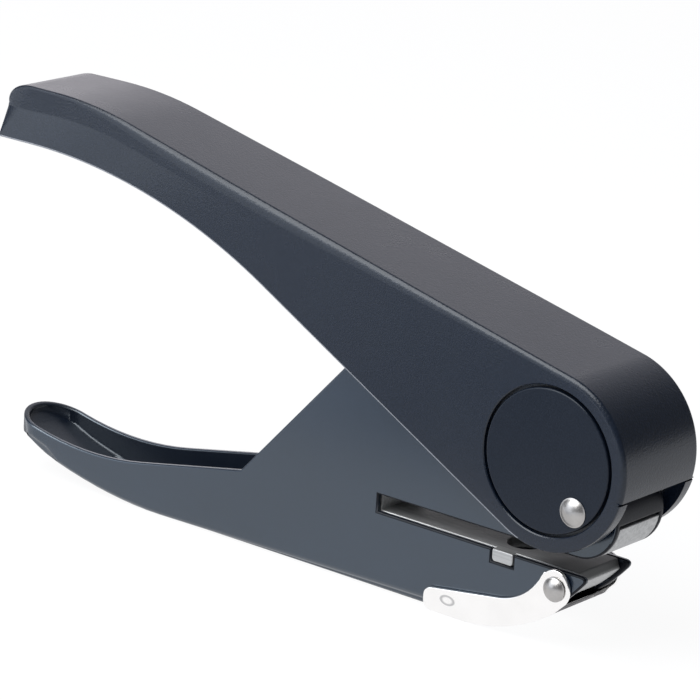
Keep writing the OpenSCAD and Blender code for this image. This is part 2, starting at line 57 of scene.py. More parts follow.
def join(tree, value, socket):  # a socket takes a value or another node's output
    if isinstance(value, bpy.types.NodeSocket):
        tree.links.new(value, socket)
    else:
        socket.default_value = value


def feed(tree, node, **values):  # several sockets by name
    for key, value in values.items():
        join(tree, value, node.inputs[key.replace("_", " ")])
    return node


def shade(name):
    material = bpy.data.materials.new(name)
    material.use_nodes = True
    tree = material.node_tree
    coords = put(tree, "ShaderNodeTexCoord").outputs["Object"]
    return material, tree, tree.nodes["Principled BSDF"], coords


def math2(tree, operation, a, b):
    node = put(tree, "ShaderNodeMath", operation=operation)
    join(tree, a, node.inputs[0])
    join(tree, b, node.inputs[1])
    return node.outputs[0]


def measure(tree, operation, vector, other=(0, 0, 0)):  # one value out of two vectors
    node = put(tree, "ShaderNodeVectorMath", operation=operation)
    join(tree, vector, node.inputs[0])
    join(tree, other, node.inputs[1])
    return node.outputs["Value"]


def mixColour(tree, mask, low, high, blend="MIX"):
    node = put(tree, "ShaderNodeMix", data_type="RGBA", blend_type=blend)
    join(tree, mask, node.inputs[0])
    for i, value in ((6, low), (7, high)):  # the colour sockets share their names with others
        join(tree, (*value, 1) if isinstance(value, tuple) else value, node.inputs[i])
    return node.outputs[2]


def remap(tree, value, start, end, low=0.0, high=1.0, kind="LINEAR"):
    node = put(tree, "ShaderNodeMapRange", interpolation_type=kind)
    feed(tree, node, Value=value, From_Min=start, From_Max=end, To_Min=low, To_Max=high)
    return node.outputs["Result"]


def spread(tree, mask, low, high):  # 0..1 mask to a plain range
    return remap(tree, mask, 0.0, 1.0, low, high)


def smooth(tree, value, start, end):  # soft step from 0 to 1
    return remap(tree, value, start, end, kind="SMOOTHSTEP")


# camera and light

cameraFit = {
    "azimuth": 38.022,
    "elevation": 16.719,
    "roll": 3.55,
    "distance": 600,
    "lens": 191.6,
    "sensor": 36,
    "target": (3.75, 0, 35.9),
}


def placeCamera(fit):
    az, el, roll = (math.radians(fit[k]) for k in ("azimuth", "elevation", "roll"))
    back = Vector((math.sin(az) * math.cos(el), -math.cos(az) * math.cos(el), math.sin(el)))
    right = Vector((math.cos(az), math.sin(az), 0))
    up = back.cross(right)
    across = right * math.cos(roll) + up * math.sin(roll)
    upright = up * math.cos(roll) - right * math.sin(roll)
    turn = Matrix((across, upright, back)).transposed().to_4x4()
    data = bpy.data.cameras.new("photoCamera")
    data.lens = fit["lens"]
    data.sensor_width = fit["sensor"]
    data.clip_end = 20
    cam = bpy.data.objects.new("photoCamera", data)
    bpy.context.scene.collection.objects.link(cam)
    cam.matrix_world = Matrix.Translation((Vector(fit["target"]) + back * fit["distance"]) * mm) @ turn
    bpy.context.scene.camera = cam


placeCamera(cameraFit)

overheadLight = {"at": (-150, -375, 665), "to": (0, 0, 30), "size": 700, "power": 7.6}


def hangLight(name, at, to, size, power):
    data = bpy.data.lights.new(name, "AREA")
    data.shape = "SQUARE"
    data.size = size * mm
    data.energy = power
    lamp = bpy.data.objects.new(name, data)
    bpy.context.scene.collection.objects.link(lamp)
    aim = (Vector(to) - Vector(at)).to_track_quat("-Z", "Y").to_matrix().to_4x4()
    lamp.matrix_world = Matrix.Translation(Vector(at) * mm) @ aim


hangLight("overhead", **overheadLight)

bpy.context.scene.view_settings.view_transform = "Standard"

roomLight = {
    "walls": (0.16, 0.16, 0.17),
    "panels": {
        "back": {"to": (-0.62, 0.75, 0.22), "edge": (0.47, 1.0), "glow": (0.69, 0.67, 0.7)},
        "low": {"to": (-0.62, 0.75, 0.22), "edge": (0.92, 1.0), "glow": (0.52, 0.48, 0.5)},
        "front": {"to": (-0.6, -0.72, 0.36), "edge": (0.88, 0.99), "glow": (1.75, 1.85, 2.0)},
    },
}


def lightRoom(v):  # dim room with soft pale panels
    studio = bpy.data.worlds.new("studio")
    studio.use_nodes = True
    bpy.context.scene.world = studio
    tree = studio.node_tree
    way = put(tree, "ShaderNodeTexCoord").outputs["Generated"]
    total = v["walls"]
    for panel in v["panels"].values():
        look = measure(tree, "DOT_PRODUCT", way, Vector(panel["to"]).normalized())
        total = mixColour(tree, smooth(tree, look, *panel["edge"]), total, panel["glow"], "ADD")
    feed(tree, tree.nodes["Background"], Color=total, Strength=1.0)


lightRoom(roomLight)
print("camera and light placed")


# effects that the finishes share

def startGroup(name, floats, outputs):
    group = bpy.data.node_groups.new(name, "ShaderNodeTree")
    group.interface.new_socket("Vector", in_out="INPUT", socket_type="NodeSocketVector")
    for label, value in floats.items():
        group.interface.new_socket(label, in_out="INPUT", socket_type="NodeSocketFloat").default_value = value
    for label in outputs:
        group.interface.new_socket(label, in_out="OUTPUT", socket_type="NodeSocketFloat")
    return group, put(group, "NodeGroupInput").outputs, put(group, "NodeGroupOutput")


def noise(tree, vector, scale, detail, roughness=0.5):
    node = put(tree, "ShaderNodeTexNoise")
    feed(tree, node, Vector=vector, Scale=scale, Detail=detail, Roughness=roughness)
    return node.outputs["Fac"]


def makeGrain(wider=0.37, speck=(0.38, 0.64)):  # fine pebbled skin of a moulding or a sprayed coat
    group, given, result = startGroup("fineGrain", {"Scale": 3000.0, "Coarse": 0.35}, ("Height", "Speck"))
    fine = noise(group, given["Vector"], given["Scale"], detail=1.0)
    wide = noise(group, given["Vector"], math2(group, "MULTIPLY", given["Scale"], wider), detail=1.0)
    both = put(group, "ShaderNodeMix", data_type="FLOAT")
    for i, value in ((0, given["Coarse"]), (2, fine), (3, wide)):
        join(group, value, both.inputs[i])
    feed(group, result, Height=both.outputs[0], Speck=remap(group, both.outputs[0], *speck))
    return group


def makeMarks(soft=(0.35, 0.7)):  # faint smudges from handling
    group, given, result = startGroup("handlingMarks", {"Scale": 60.0}, ("Smudge",))
    cloud = noise(group, given["Vector"], given["Scale"], detail=4.0, roughness=0.6)
    feed(group, result, Smudge=remap(group, cloud, *soft))
    return group


def makeDrawn(stretch=0.03, tone=(0.3, 0.7)):  # lines that rolling leaves on sheet metal, along X
    group, given, result = startGroup("drawnLines", {"Scale": 2600.0}, ("Height", "Tone"))
    slim = put(group, "ShaderNodeMapping")
    feed(group, slim, Vector=given["Vector"], Scale=(stretch, 1, 1))
    line = noise(group, slim.outputs["Vector"], given["Scale"], detail=3.0, roughness=0.6)
    feed(group, result, Height=line, Tone=remap(group, line, *tone))
    return group


grainGroup = makeGrain()
marksGroup = makeMarks()
drawnGroup = makeDrawn()


def useGroup(tree, group, coords, **values):
    node = put(tree, "ShaderNodeGroup", node_tree=group)
    feed(tree, node, Vector=coords, **values)
    return node.outputs


def bump(tree, height, strength, depth):
    node = put(tree, "ShaderNodeBump")
    feed(tree, node, Height=height, Strength=strength, Distance=depth * mm)
    return node


# finishes

coverFinish = {"dark": (0.002, 0.006, 0.014), "light": (0.006, 0.011, 0.023), "rough": (0.26, 0.31),
               "shine": 1.5, "tint": (0.92, 0.96, 1.0), "grainScale": 3600.0, "grainDepth": 0.05}

# painted highlight: a much lighter plastic stands in for light caught by the cover's lower rim
rimHighlightFinish = {"dark": (0.2, 0.21, 0.23), "light": (0.26, 0.27, 0.3), "rough": (0.3, 0.36),
             "shine": 1.5, "tint": (0.92, 0.96, 1.0), "grainScale": 3600.0, "grainDepth": 0.02}

insertFinish = {"dark": (0.003, 0.006, 0.013), "light": (0.006, 0.01, 0.019), "rough": (0.3, 0.34),
                "shine": 1.38, "tint": (0.88, 0.94, 1.0), "grainScale": 3600.0, "grainDepth": 0.035}

# painted shade: darker, duller paint for the cut edges of the slot and jaw, the nose and the jaw's inner
# faces
shadeEdgeFinish = {"dark": (0.003, 0.004, 0.007), "light": (0.005, 0.006, 0.01), "rough": (0.3, 0.4),
              "shine": 1.3, "tint": (0.9, 0.95, 1.0), "grainScale": 3000.0, "grainDepth": 0.02}

# painted shade: darker, duller paint for the inside of the channel and the trough
shadeInnerFinish = {"dark": (0.003, 0.006, 0.013), "light": (0.005, 0.009, 0.018), "rough": (0.3, 0.36),
               "shine": 1.66, "tint": (0.85, 0.93, 1.0), "grainScale": 3000.0, "grainDepth": 0.02}


def makeGrained(name, v):  # moulded plastic, the lighter plastic of the rim's painted highlight, and the darker, duller paint of painted shade on edges and in hollows
    material, tree, bsdf, coords = shade(name)
    grain = useGroup(tree, grainGroup, coords, Scale=v["grainScale"], Coarse=0.2)
    marks = useGroup(tree, marksGroup, coords, Scale=55.0)
    pebbles = bump(tree, grain["Height"], strength=0.8, depth=v["grainDepth"])
    feed(tree, bsdf, Base_Color=mixColour(tree, grain["Speck"], v["dark"], v["light"]),
         Roughness=spread(tree, marks["Smudge"], *v["rough"]), IOR=v["shine"],
         Specular_Tint=(*v["tint"], 1), Normal=pebbles.outputs["Normal"])
    return material


paintFinish = {"dark": (0.006, 0.012, 0.024), "light": (0.007, 0.014, 0.028), "rough": (0.2, 0.23),
               "shine": 1.87, "tint": (0.8, 0.91, 1.0), "peelScale": 900.0, "peelDepth": 0.04}


def makeFramePaint(v):
    material, tree, bsdf, coords = shade("framePaint")
    peel = useGroup(tree, grainGroup, coords, Scale=v["peelScale"], Coarse=0.6)
    marks = useGroup(tree, marksGroup, coords, Scale=70.0)
    waves = bump(tree, peel["Height"], strength=0.18, depth=v["peelDepth"])
    feed(tree, bsdf, Base_Color=mixColour(tree, marks["Smudge"], v["dark"], v["light"]),
         Roughness=spread(tree, marks["Smudge"], *v["rough"]), IOR=v["shine"],
         Specular_Tint=(*v["tint"], 1), Normal=waves.outputs["Normal"])
    return material


# the shade keys paint shade on the die table, darker inwards and towards the front
steelFinish = {"dark": (0.43, 0.44, 0.44), "light": (0.6, 0.605, 0.605), "rough": (0.56, 0.68),
               "shadeTone": (0.16, 0.165, 0.165), "shadeX": (44, 52), "shadeY": (-5.6, 2),
               "shadeZ": (11.4, 12.2, 13.6, 14.4)}


def makeBareSteel(v):
    material, tree, bsdf, coords = shade("bareSteel")
    drawn = useGroup(tree, drawnGroup, coords, Scale=2400.0)
    marks = useGroup(tree, marksGroup, coords, Scale=120.0)
    colour = mixColour(tree, drawn["Tone"], v["dark"], v["light"])
    place = put(tree, "ShaderNodeSeparateXYZ")
    join(tree, coords, place.inputs[0])

    def past(axis, start, end):
        return smooth(tree, place.outputs[axis], start * mm, end * mm)

    low, full, fading, high = v["shadeZ"]
    table = math2(tree, "SUBTRACT", past("Z", low, full), past("Z", fading, high))
    inner = math2(tree, "MAXIMUM", past("X", *v["shadeX"]), past("Y", *v["shadeY"]))
    tableShade = math2(tree, "MULTIPLY", table, inner)  # painted shade: the die table darkens inwards and to the front, where the slot and the head shade it
    lines = bump(tree, drawn["Height"], strength=0.25, depth=0.02)
    feed(tree, bsdf, Base_Color=mixColour(tree, tableShade, colour, v["shadeTone"]), Metallic=1.0,
         Roughness=spread(tree, marks["Smudge"], *v["rough"]), Normal=lines.outputs["Normal"])
    return material


# the ring colour paints shade round the rim of the detent dimple
plateFinish = {"dark": (0.93, 0.92, 0.9), "light": (0.97, 0.96, 0.94), "rough": (0.12, 0.17),
               "dimple": (31.85, 2.6), "dimpleR": (1.5, 0.85), "dimpleDepth": 0.04, "bowl": (0.35, 1.0),
               "ring": (0.5, 0.5, 0.5), "ringEdge": (0.45, 0.85, 1.1)}


def makeBrightPlate(v):
    material, tree, bsdf, coords = shade("brightPlate")
    marks = useGroup(tree, marksGroup, coords, Scale=160.0)
    drawn = useGroup(tree, drawnGroup, coords, Scale=1500.0)
    colour = mixColour(tree, marks["Smudge"], v["light"], v["dark"])
    (x, z), (wide, high) = v["dimple"], v["dimpleR"]
    bothEars = 1000  # endless in Y
    oval = put(tree, "ShaderNodeMapping", vector_type="TEXTURE")  # detent dimple, 1 at its rim
    feed(tree, oval, Vector=coords, Location=(x * mm, 0, z * mm), Scale=(wide * mm, bothEars, high * mm))
    reach = measure(tree, "LENGTH", oval.outputs["Vector"])
    start, crest, end = v["ringEdge"]
    # painted shade: a grey ring along the dimple's rim
    ring = math2(tree, "SUBTRACT", smooth(tree, reach, start, crest), smooth(tree, reach, crest, end))
    lines = bump(tree, drawn["Height"], strength=0.06, depth=0.02)
    pressed = bump(tree, smooth(tree, reach, *v["bowl"]), strength=1.0, depth=v["dimpleDepth"])
    feed(tree, pressed, Normal=lines.outputs["Normal"])
    feed(tree, bsdf, Base_Color=mixColour(tree, ring, colour, v["ring"]), Metallic=1.0,
         Roughness=spread(tree, marks["Smudge"], *v["rough"]), Normal=pressed.outputs["Normal"])
    return material


rivetFinish = {"dark": (0.4, 0.39, 0.38), "light": (0.52, 0.51, 0.495), "rough": (0.3, 0.38)}


def makeRivetSteel(v):
    material, tree, bsdf, coords = shade("rivetSteel")
    marks = useGroup(tree, marksGroup, coords, Scale=260.0)
    grain = useGroup(tree, grainGroup, coords, Scale=2200.0, Coarse=0.5)
    pits = bump(tree, grain["Height"], strength=0.08, depth=0.02)
    feed(tree, bsdf, Base_Color=mixColour(tree, marks["Smudge"], v["light"], v["dark"]), Metallic=1.0,
         Roughness=spread(tree, grain["Speck"], *v["rough"]), Normal=pits.outputs["Normal"])
    return material


toolFinish = {"dark": (0.3, 0.3, 0.31), "light": (0.46, 0.46, 0.47), "rough": (0.2, 0.34)}


def makeToolSteel(v):
    material, tree, bsdf, coords = shade("toolSteel")
    marks = useGroup(tree, marksGroup, coords, Scale=200.0)
    grain = useGroup(tree, grainGroup, coords, Scale=5000.0, Coarse=0.3)
    ground = bump(tree, grain["Height"], strength=0.1, depth=0.01)
    feed(tree, bsdf, Base_Color=mixColour(tree, grain["Speck"], v["dark"], v["light"]), Metallic=1.0,
         Roughness=spread(tree, marks["Smudge"], *v["rough"]), Normal=ground.outputs["Normal"])
    return material


coverPlastic = makeGrained("coverPlastic", coverFinish)
rimHighlightPlastic = makeGrained("rimHighlightPlastic", rimHighlightFinish)
insertPlastic = makeGrained("insertPlastic", insertFinish)
shadeEdgePaint = makeGrained("shadeEdgePaint", shadeEdgeFinish)
shadeInnerPaint = makeGrained("shadeInnerPaint", shadeInnerFinish)
framePaint = makeFramePaint(paintFinish)
bareSteel = makeBareSteel(steelFinish)
brightPlate = makeBrightPlate(plateFinish)
rivetSteel = makeRivetSteel(rivetFinish)
toolSteel = makeToolSteel(toolFinish)
print("finishes made")


# floor

floorPaper = {
    "base": (0.82, 0.84, 0.88), "fleck": 0.98, "seen": (1.03, 1.03, 1.03), "lift": 0.9, "size": 4,
    "mirrored": (1.0, 1.0, 1.02), "away": (-0.6, -0.8, 0),
    "bands": (((0.9, 0.95, 1.06), 60, 130), ((0.5, 0.55, 0.66), 195, 250), ((2.1, 2.18, 2.3), 305, 490)),
    "patch": (-24, -112, 0), "patchR": (15, 68), "patchTone": (0.4, 0.45, 0.55),
}


def mirroredFloor(tree, coords, v):  # painted reflection: for reflections only the floor glows, in bands towards the front left, with a darker patch
    away = measure(tree, "DOT_PRODUCT", coords, v["away"])
    colour = v["mirrored"]
    for tone, start, end in v["bands"]:
        colour = mixColour(tree, smooth(tree, away, start * mm, end * mm), colour, tone)
    off = measure(tree, "DISTANCE", coords, Vector(v["patch"]) * mm)
    inner, outer = (r * mm for r in v["patchR"])
    return mixColour(tree, smooth(tree, off, inner, outer), v["patchTone"], colour)


def makeFloorPaper(v):
    material, tree, bsdf, coords = shade("floorPaper")
    grain = useGroup(tree, grainGroup, coords, Scale=400.0, Coarse=0.5)
    fleck = tuple(c * v["fleck"] for c in v["base"])
    feed(tree, bsdf, Base_Color=mixColour(tree, grain["Speck"], v["base"], fleck), Roughness=0.9)
    path = put(tree, "ShaderNodeLightPath").outputs
    colour = mixColour(tree, path["Is Glossy Ray"], v["seen"], mirroredFloor(tree, coords, v))
    glow = put(tree, "ShaderNodeEmission")
    feed(tree, glow, Color=colour, Strength=1.0)
    seen = math2(tree, "MULTIPLY", path["Is Camera Ray"], v["lift"])
    blend = put(tree, "ShaderNodeMixShader")
    sources = (math2(tree, "MAXIMUM", seen, path["Is Glossy Ray"]), bsdf.outputs[0], glow.outputs[0])
    for source, socket in zip(sources, blend.inputs):
        join(tree, source, socket)
    feed(tree, tree.nodes["Material Output"], Surface=blend.outputs[0])
    return material


def makeFloor(v):
    bm = bmesh.new()
    bmesh.ops.create_grid(bm, x_segments=1, y_segments=1, size=v["size"])
    mesh = bpy.data.meshes.new("floor")
    bm.to_mesh(mesh)
    bm.free()
    mesh.materials.append(makeFloorPaper(v))
    floor = bpy.data.objects.new("floor", mesh)
    bpy.context.scene.collection.objects.link(floor)


makeFloor(floorPaper)
print("floor laid")


# mesh helpers

closeUp = 1e-6  # points nearer than this, in metres, are one


def finishPiece(bm, name, material, body, stands=(), sharp=40, live=True):
    mesh = bpy.data.meshes.new(name)
    bm.to_mesh(mesh)
    bm.free()
    mesh.polygons.foreach_set("use_smooth", [True] * len(mesh.polygons))
    mesh.set_sharp_from_angle(angle=math.radians(sharp))
    mesh.materials.append(material)
    piece = bpy.data.objects.new(name, mesh)
    bpy.context.scene.collection.objects.link(piece)
    if live:
        even = piece.modifiers.new("evenShade", "WEIGHTED_NORMAL")
        even.keep_sharp = True
    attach(piece, body)
    if stands:
        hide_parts(*stands)
    return piece


def onCircle(centre, r, degrees):
    a = math.radians(degrees)
    return (centre[0] + r * math.cos(a), centre[1] + r * math.sin(a))


def between(a, b, t):
    return tuple(p + (q - p) * t for p, q in zip(a, b))


def ease(t):
    t = min(max(t, 0.0), 1.0)
    return t * t * (3 - 2 * t)


def drape(bm, rows, columns, place, tag):  # a plain grid whose points are set down one by one
    made = bmesh.ops.create_grid(bm, x_segments=rows - 1, y_segments=columns - 1, size=1.0)["verts"]
    for vert in made:
        i = round((vert.co.x + 1) / 2 * (rows - 1))
        j = round((vert.co.y + 1) / 2 * (columns - 1))
        vert.co = Vector(place(i, j)) * mm
        vert[tag[0]], vert[tag[1]] = i, j
    return made


def pull(bm, edges, move=(0, 0, 0), grow=1.0, centre=(0, 0, 0)):  # extrude a loop, then move and scale it
    made = bmesh.ops.extrude_edge_only(bm, edges=edges)["geom"]
    verts = [g for g in made if isinstance(g, bmesh.types.BMVert)]
    at = Matrix.Translation(-Vector(centre) * mm)
    bmesh.ops.scale(bm, vec=(grow, 1, grow), space=at, verts=verts)
    bmesh.ops.translate(bm, vec=Vector(move) * mm, verts=verts)
    keep = set(verts)
    return [g for g in made if isinstance(g, bmesh.types.BMEdge) and all(p in keep for p in g.verts)]


def facingSide(x, y, z):  # turns a circle to face along Y, and sets it down
    return Matrix.Translation(Vector((x, y, z)) * mm) @ Matrix.Rotation(math.radians(90), 4, "X")


# handle cover

coverForm = {
    "head": (50.7, 31.25), "headR": 14.4, "half": 10.0, "halfIn": 7.8, "wall": 2.2, "thinWall": 1.4,
    "topSlope": 12.9, "topBendR": 76.0, "crestX": -55.1,
    "lowSlope": 28.2, "lowBendR": 110.0, "levelX": -59.1, "frontAt": -13.9, "windowGap": 1.4,
    "tipX": -66.75, "creaseX": -66.5, "rimX": -66.5, "tipR": (5.5, 3.6), "planR": 0.4, "planL": 0.5,
    "flare": 2.7, "flareFrom": -65.1, "flareLength": 64.0, "flareEvenX": -54.0, "flareLean": 0.025,
    "creaseDrop": (4.2, 3.3), "creaseFade": 45.0, "creaseEnd": 0.6, "creaseR": 0.15, "creaseShare": 0.2,
    "edgeWide": (0.4, 1.2, 0.8), "edgeHigh": (0.5, 2.2, 1.0), "edgeX": (-60.0, -20.0, -5.0, 45.0),
    "rimR": 0.35, "rimLineY": 9.0, "rimLineRows": 6,
    "recessR": 12.0, "recessDepth": 1.2, "recessSides": 144, "mouthR": 0.15, "cheekX": 36.0,
    "hollowRim": 2.6, "hollowTop": 4.4, "hollowDrop": 1.2, "innerEdge": 0.6,
    "tipSteps": 12, "bodySteps": 60, "headSteps": 48, "edgeSteps": 8,
}


def creaseDrop(v, x):  # height of the upright band under the top edge
    tall, low = v["creaseDrop"]
    return tall + (low - tall) * ease((x - v["tipX"]) / v["creaseFade"])


def onLine(x, start, z, bendR, slope):  # level, then a bend, then straight: point and its normal
    turn = math.radians(slope)
    reach = bendR * math.sin(turn)
    if x > start + reach:
        return (x, z - bendR * (1 - math.cos(turn)) - (x - start - reach) * math.tan(turn)), 90 - slope
    bent = math.asin(max(x - start, 0) / bendR)
    return (x, z - bendR * (1 - math.cos(bent))), 90 - math.degrees(bent)


def coverStations(v):  # side view from tip to front: top point, its normal, rim point, its normal, crease
    head, r = v["head"], v["headR"]
    topAt, lowAt = 90 - v["topSlope"], 270 - v["lowSlope"]
    topEnd, lowEnd = onCircle(head, r, topAt), onCircle(head, r, lowAt)

    def topLine(x, z):
        return onLine(x, v["crestX"], z, v["topBendR"], v["topSlope"])

    def lowLine(x, z):
        return onLine(x, v["levelX"], z, v["lowBendR"], v["lowSlope"])

    topZ = topEnd[1] - topLine(topEnd[0], 0)[0][1]
    lowZ = lowEnd[1] - lowLine(lowEnd[0], 0)[0][1]
    tipX, rimX, creaseX, (long, tall) = v["tipX"], v["rimX"], v["creaseX"], v["tipR"]
    rows = []
    n = v["tipSteps"]
    for i in range(n + 1):  # end corner
        a = math.radians(180 - 90 * i / n)
        s = 1 + math.cos(a)
        top = (tipX + long * s, topZ - tall * (1 - math.sin(a)))
        rim = (rimX + v["planL"] * s, lowZ)
        lean = math.degrees(math.atan2(math.sin(a) * long, math.cos(a) * tall))
        crease = (creaseX + (tipX + v["creaseEnd"] * long - creaseX) * s, topZ - creaseDrop(v, tipX))
        rows.append((top, lean, rim, 90, crease))

    def add(top, a, rim, b):
        drop = min(creaseDrop(v, top[0]), math.dist(top, rim) / 2)
        rows.append((top, a, rim, b, onCircle(top, -drop, a)))

    n = v["bodySteps"]
    topFrom, lowFrom = rows[-1][0][0], rows[-1][2][0]
    for i in range(1, n):  # grip and arm
        top, a = topLine(topFrom + (topEnd[0] - topFrom) * i / n, topZ)
        rim, b = lowLine(lowFrom + (lowEnd[0] - lowFrom) * i / n, lowZ)
        add(top, a, rim, b)
    n = v["headSteps"]
    windowAt = v["frontAt"] + 360 - v["windowGap"]
    for i in range(n + 1):  # round the head, down to the window at its front
        a = topAt + (v["frontAt"] - topAt) * i / n
        b = lowAt + (windowAt - lowAt) * i / n
        add(onCircle(head, r, a), a, onCircle(head, r, b), b - 180)
    return rows


def coverEdge(v, x):  # width and height of the top edge's rounding, fullest along the bend
    x0, x1, x2, x3 = v["edgeX"]
    sizes = []
    for tip, bend, head in (v["edgeWide"], v["edgeHigh"]):
        near = tip + (bend - tip) * ease((x - x0) / (x1 - x0))
        sizes.append(near + (head - bend) * min(max((x - x2) / (x3 - x2), 0), 1))
    return sizes


def sinkRecess(bm, v, side, cheek):  # the cheek's faces make room for a round recess
    inCheek = set(cheek)
    rim = [e for f in cheek for e in f.edges if sum(g in inCheek for g in e.link_faces) == 1]
    bmesh.ops.delete(bm, geom=cheek, context="FACES")
    centre = (v["head"][0], side * v["half"], v["head"][1])
    mouthR = v["recessR"] + v["mouthR"]
    ring = bmesh.ops.create_circle(bm, segments=v["recessSides"], radius=mouthR * mm,
                                   matrix=facingSide(*centre))["verts"]
    mouth = list(dict.fromkeys(e for p in ring for e in p.link_edges))
    bmesh.ops.triangle_fill(bm, use_beauty=True, use_dissolve=False, edges=rim + mouth, normal=(0, side, 0))
    lip = pull(bm, mouth, (0, -side * v["mouthR"], 0), v["recessR"] / mouthR, centre)
    floor = pull(bm, lip, (0, -side * (v["recessDepth"] - v["mouthR"]), 0))
    bmesh.ops.edgeloop_fill(bm, edges=floor)


def makeCover(v):
    rows = coverStations(v)
    count = len(rows) + 1
    edgeFrom = 5  # columns from the rim up: 0 to 2 its rounding, 3 and 4 the crease, then the top edge
    mid = edgeFrom + 1 + v["edgeSteps"]
    tip, lastTip, lastBody = v["tipX"], v["tipSteps"], v["tipSteps"] + v["bodySteps"]
    topZ = rows[lastTip][0][1]
    onDiagonal = 1 - math.sqrt(0.5)
    bm = bmesh.new()
    rowTag, colTag, skinTag = (bm.verts.layers.int.new(k) for k in ("row", "column", "skin"))

    def fromRim(j):  # columns run from rim to rim: counted from the nearer one
        return min(j, 2 * mid - j)

    def flareAt(x):  # inset of the top from the rim
        even = max(x, v["flareEvenX"])
        fade = v["flare"] * max(0.0, 1 - (even - v["flareFrom"]) / v["flareLength"]) ** 2
        return fade + v["flareLean"] * (even - x)

    def roundedTop(top, a, y, wide, high, k):  # point k of the rounding on a top edge
        t = math.radians(90 * (k - edgeFrom) / v["edgeSteps"])
        x, z = onCircle(top, -high * (1 - math.sin(t)), a)
        return x, y - wide * (1 - math.cos(t)), z

    def outside(i, j):
        side = -1 if j < mid else 1
        k = fromRim(j)
        step = max(i - 1, 0)
        top, a, rim, b, crease = rows[step]
        s = 1 - math.cos(math.radians(90 * step / lastTip)) if step <= lastTip else 1.0
        half = v["half"] - v["planR"] * (1 - math.sqrt(1 - (1 - s) ** 2))
        upper = half - flareAt(top[0])
        if i == 0:  # lower edge of the end face
            return (rim[0], side * (half - v["rimR"]) * (1 - k / mid), rim[1])
        if k == mid:
            return (top[0], 0, top[1])
        if k >= edgeFrom:
            x, y, z = roundedTop(top, a, upper, *coverEdge(v, top[0]), k)
            return (x, side * y, z)
        if k == 4:
            x, z = between(crease, top, min(v["creaseR"] / math.dist(crease, top), v["creaseShare"]))
            return (x, side * upper, z)
        length = math.dist(crease, rim)
        if k == 3:
            t = min(v["creaseR"] / length, v["creaseShare"])
            x, z = between(crease, rim, t)
            return (x, side * (upper + (half - upper) * t), z)
        inset, rise = ((1, 0), (onDiagonal, onDiagonal), (0, 1))[k]
        x, z = onCircle(rim, rise * v["rimR"], b)
        lean = (half - upper) * rise * v["rimR"] / length
        return (x, side * (half - inset * v["rimR"] - lean), z)

    def inside(i, j):
        side = -1 if j < mid else 1
        k = fromRim(j)
        step = max(i - 1, 0)
        top, a, rim = rows[step][:3]
        thin = v["wall"] + (v["thinWall"] - v["wall"]) * max(0, step - lastBody) / v["headSteps"]
        under = onCircle(top, -thin, a)
        if step <= lastTip:  # the hollow starts behind a solid end
            t = step / lastTip
            rim = (tip + v["hollowRim"] + t, rim[1])
            under = (tip + v["hollowTop"] + t, topZ - v["wall"] - v["hollowDrop"] * (1 - t))
            a = 90
        y = v["halfIn"]
        upper = min(y, v["half"] - flareAt(top[0]) - v["thinWall"]) if step <= lastBody else y
        if i == 0:
            return (rim[0], side * y * (1 - k / mid), rim[1])
        if k == mid:
            return (under[0], 0, under[1])
        if k >= edgeFrom:
            x, w, z = roundedTop(under, a, upper, v["innerEdge"], v["innerEdge"], k)
            return (x, side * w, z)
        foot = onCircle(under, -v["innerEdge"], a)
        x, z = between(rim, foot, k / edgeFrom)
        return (x, side * (y + (upper - y) * k / edgeFrom), z)

    drape(bm, count, 2 * mid + 1, outside, (rowTag, colTag))
    for vert in drape(bm, count, 2 * mid + 1, inside, (rowTag, colTag)):
        vert[skinTag] = 1
    bmesh.ops.remove_doubles(bm, verts=bm.verts[:], dist=closeUp)
    bmesh.ops.bridge_loops(bm, edges=[e for e in bm.edges if e.is_boundary])

    first = 1 + next(i for i, row in enumerate(rows) if row[0][0] > v["cheekX"])
    for side in (-1, 1):
        columns = {mid + side * (mid - k) for k in range(2, edgeFrom + 1)}
        cheek = [f for f in bm.faces if all(p[skinTag] == 0 and p[rowTag] >= first and p[colTag] in columns
                                            for p in f.verts)]
        sinkRecess(bm, v, side, cheek)
    lineEnd = lastBody + v["rimLineRows"]
    for f in bm.faces:  # painted highlight: a line of much lighter plastic along the arm's lower rim
        onRim = all(p[skinTag] == 0 and fromRim(p[colTag]) in (1, 2) and lastTip < p[rowTag] <= lineEnd
                    for p in f.verts)
        if onRim and len(f.verts) == 4 and abs(f.calc_center_median().y) > v["rimLineY"] * mm:
            f.material_index = 1
    bmesh.ops.recalc_face_normals(bm, faces=bm.faces[:])
    shell = finishPiece(bm, "coverShell", coverPlastic, "handle", ("handle_cover",))
    shell.data.materials.append(rimHighlightPlastic)


makeCover(coverForm)
print("cover made")


# round inserts in the cheeks

discForm = {"centre": coverForm["head"], "r": 11.5, "thick": coverForm["recessDepth"],
            "face": coverForm["half"], "rimR": 0.3, "rimSegments": 4, "sides": 144}


def makeDisc(v, side, name, node):
    bm = bmesh.new()
    x, z = v["centre"]
    bmesh.ops.create_circle(bm, cap_ends=True, segments=v["sides"], radius=v["r"] * mm,
                            matrix=facingSide(x, side * (v["face"] - v["thick"]), z))
    grown = bmesh.ops.extrude_face_region(bm, geom=bm.faces[:])["geom"]
    lifted = [g for g in grown if isinstance(g, bmesh.types.BMVert)]
    bmesh.ops.translate(bm, vec=(0, side * v["thick"] * mm, 0), verts=lifted)
    up = set(lifted)
    rim = [e for e in bm.edges if all(p in up for p in e.verts)]
    bmesh.ops.bevel(bm, geom=rim, offset=v["rimR"] * mm, offset_type="OFFSET", affect="EDGES",
                    segments=v["rimSegments"], profile=0.5, material=-1)
    bmesh.ops.recalc_face_normals(bm, faces=bm.faces[:])
    finishPiece(bm, name, insertPlastic, "handle", (node,))


makeDisc(discForm, 1, "insertLeft", "pivot_disc_left")
makeDisc(discForm, -1, "insertRight", "pivot_disc_right")


# rivets

